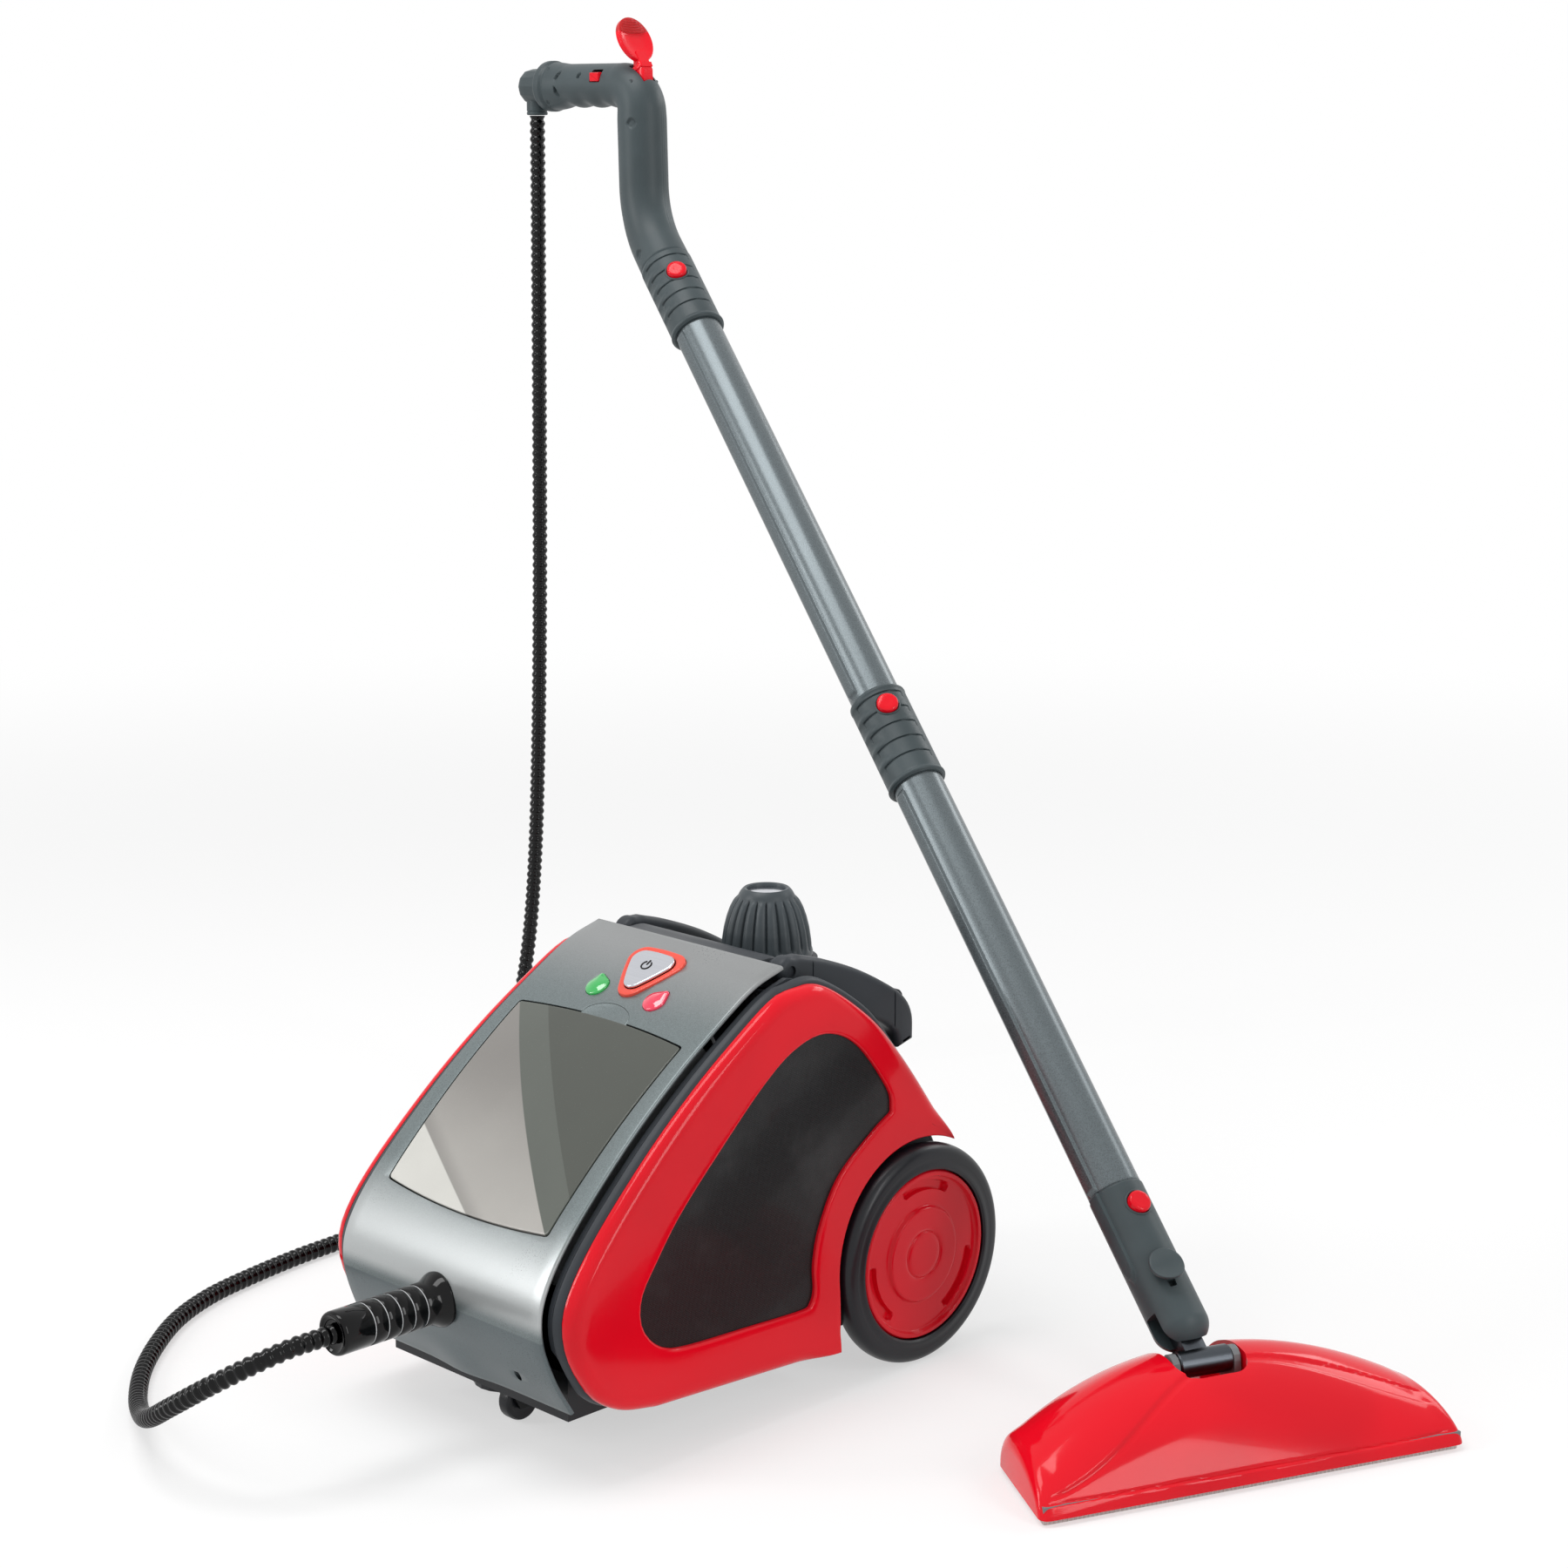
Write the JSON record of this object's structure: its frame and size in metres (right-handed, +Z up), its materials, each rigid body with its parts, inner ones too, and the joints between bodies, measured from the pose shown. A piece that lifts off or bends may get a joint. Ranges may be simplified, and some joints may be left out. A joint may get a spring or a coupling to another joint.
{
  "type": "canister steam mop",
  "caption": "Wheeled canister steam mop with a storage door, screw cap and folding carry handle, joined by a hose to a jointed wand with a trigger grip and a swivelling floor head.",
  "frame": {"origin": "on the floor, under the middle of the footprint of the canister, wand and head, hose not counted", "axes": "+X across the canister from the hose and handle side to the floor head, +Y from the canister's front to its back, +Z up"},
  "size_m": [1.0168, 0.7265, 0.9329],
  "materials": {
    "black_gloss": "gloss",
    "black_rubber": "matt",
    "board_green": "printed board",
    "brass": "machined",
    "cap_grey": "satin",
    "dark_trim": "satin",
    "gloss_red": "high gloss",
    "inner_grey": "moulded",
    "lamp_green": "clear gloss",
    "lamp_red": "clear gloss",
    "pad_cloth": "short pile",
    "satin_graphite": "satin metallic paint",
    "silver": "polished",
    "smoked_gloss": "high gloss, smoked",
    "smoked_window": "gloss, nearly black",
    "steel": "brushed",
    "wand_grey": "satin"
  },
  "bodies": {
    "canister_and_wand": {"accessory_bin": "inner_grey", "base_tray": "black_rubber", "boiler_stand": "inner_grey", "boiler_tank": "steel", "button_bezel": "gloss_red", "control_board": "board_green", "cord_grommet": "black_rubber", "door_hinge_pin": "steel", "floor_adapter": "wand_grey", "front_cover": "satin_graphite", "handle_half_back": "wand_grey", "handle_half_front": "wand_grey", "handle_socket": "wand_grey", "heater_ring": "inner_grey", "hose_cuff": "wand_grey", "hose_grip": "black_gloss", "lamp_power": "lamp_green", "lamp_ready": "lamp_red", "lower_tube": "wand_grey", "middle_collar": "wand_grey", "rear_cover": "dark_trim", "roll_pin": "steel", "side_panel_left": "gloss_red", "side_panel_right": "gloss_red", "side_wall_left": "dark_trim", "side_wall_right": "dark_trim", "side_window_left": "smoked_window", "side_window_right": "smoked_window", "solenoid_valve": "brass", "steam_hose": "black_gloss", "steam_pipe_inlet": "brass", "steam_pipe_outlet": "brass", "thermostats": "silver", "top_deck": "dark_trim", "trigger_pin": "steel", "upper_tube": "wand_grey", "wheel_axle": "steel"},
    "wheel_left": {"wheel_hub_left": "gloss_red", "tyre_left": "black_rubber"},
    "wheel_right": {"wheel_hub_right": "gloss_red", "tyre_right": "black_rubber"},
    "caster_swivel_fork": {"caster_fork": "black_gloss"},
    "caster_roller": {"caster_wheel": "black_rubber"},
    "cap_carrier": {"cap_seal": "black_rubber"},
    "filler_cap": {"cap_shell": "cap_grey", "cap_plug": "silver"},
    "carry_handle": {"carry_handle": "dark_trim"},
    "storage_door": {"storage_door": "smoked_gloss"},
    "power_button": {"power_button": "silver"},
    "trigger": {"steam_trigger": "gloss_red"},
    "lock_slide": {"trigger_lock": "gloss_red"},
    "button_upper": {"release_button_upper": "gloss_red"},
    "button_middle": {"release_button_middle": "gloss_red"},
    "button_lower": {"release_button_lower": "gloss_red"},
    "swivel_lock_lever": {"swivel_lock": "wand_grey"},
    "neck": {"neck_joint": "steel"},
    "floor_head": {"head_shell": "gloss_red", "sole_plate": "inner_grey", "floor_pad": "pad_cloth", "pitch_pin": "steel"}
  },
  "joints": [
    {"name": "wheel_left_spin", "type": "hinge", "parent": "canister_and_wand", "child": "wheel_left", "pos_m": [-0.0913, 0.0899, 0.078], "axis": [1, 0, 0], "continuous": true},
    {"name": "wheel_right_spin", "type": "hinge", "parent": "canister_and_wand", "child": "wheel_right", "pos_m": [0.1427, 0.0899, 0.078], "axis": [1, 0, 0], "continuous": true},
    {"name": "caster_swivel", "type": "hinge", "parent": "canister_and_wand", "child": "caster_swivel_fork", "pos_m": [0.0257, -0.1821, 0], "axis": [0, 0, 1], "continuous": true},
    {"name": "caster_roll", "type": "hinge", "parent": "caster_swivel_fork", "child": "caster_roller", "pos_m": [0.0257, -0.1731, 0.0135], "axis": [1, 0, 0], "continuous": true},
    {"name": "cap_lift", "type": "slide", "parent": "canister_and_wand", "child": "cap_carrier", "axis": [0, 0, 1], "range_m": [0, 0.0075]},
    {"name": "cap_turn", "type": "hinge", "parent": "cap_carrier", "child": "filler_cap", "pos_m": [0.0257, 0.0599, 0.2765], "axis": [0, 0, 1], "range_deg": [0, 540]},
    {"name": "carry_handle_fold", "type": "hinge", "parent": "canister_and_wand", "child": "carry_handle", "pos_m": [0.0257, -0.0001, 0.29], "axis": [1, 0, 0], "range_deg": [0, 110]},
    {"name": "storage_door_open", "type": "hinge", "parent": "canister_and_wand", "child": "storage_door", "pos_m": [0.0257, -0.20588, 0.16035], "axis": [1, 0, 0], "range_deg": [0, 80]},
    {"name": "power_button_press", "type": "slide", "parent": "canister_and_wand", "child": "power_button", "axis": [0, 0.489, -0.8723], "range_m": [0, 0.0015], "stiffness_N_per_m": 500, "springref_m": -0.002},
    {"name": "trigger_pull", "type": "hinge", "parent": "canister_and_wand", "child": "trigger", "pos_m": [-0.35839, 0.30293, 0.88184], "axis": [0, -1, 0], "range_deg": [0, 12], "stiffness_Nm_per_rad": 0.12, "springref_deg": -14.32},
    {"name": "trigger_lock_slide", "type": "slide", "parent": "canister_and_wand", "child": "lock_slide", "axis": [0, 1, 0], "range_m": [0, 0.004]},
    {"name": "release_button_upper_press", "type": "slide", "parent": "canister_and_wand", "child": "button_upper", "axis": [-0.5308, 0.4975, -0.6861], "range_m": [0, 0.0025], "stiffness_N_per_m": 500, "springref_m": -0.002},
    {"name": "release_button_middle_press", "type": "slide", "parent": "canister_and_wand", "child": "button_middle", "axis": [-0.5308, 0.4975, -0.6861], "range_m": [0, 0.0025], "stiffness_N_per_m": 500, "springref_m": -0.002},
    {"name": "release_button_lower_press", "type": "slide", "parent": "canister_and_wand", "child": "button_lower", "axis": [-0.6597, 0.178, -0.7302], "range_m": [0, 0.0025], "stiffness_N_per_m": 500, "springref_m": -0.002},
    {"name": "swivel_lock_tilt", "type": "hinge", "parent": "canister_and_wand", "child": "swivel_lock_lever", "pos_m": [0.34087, 0.11059, 0.11308], "axis": [0.392, 0.9074, 0.1518], "range_deg": [0, 14]},
    {"name": "neck_roll", "type": "hinge", "parent": "canister_and_wand", "child": "neck", "pos_m": [0.35738, 0.10937, 0.07777], "axis": [-0.6597, 0.178, -0.7302], "range_deg": [-20, 20]},
    {"name": "head_pitch", "type": "hinge", "parent": "neck", "child": "floor_head", "pos_m": [0.37687, 0.10719, 0.06], "axis": [0.3859, 0.9225, 0], "range_deg": [-40, 30]}
  ],
  "couplings": [
    {"joint": "cap_lift", "follows": "cap_turn", "m_per_rad": 0.00079577}
  ]
}
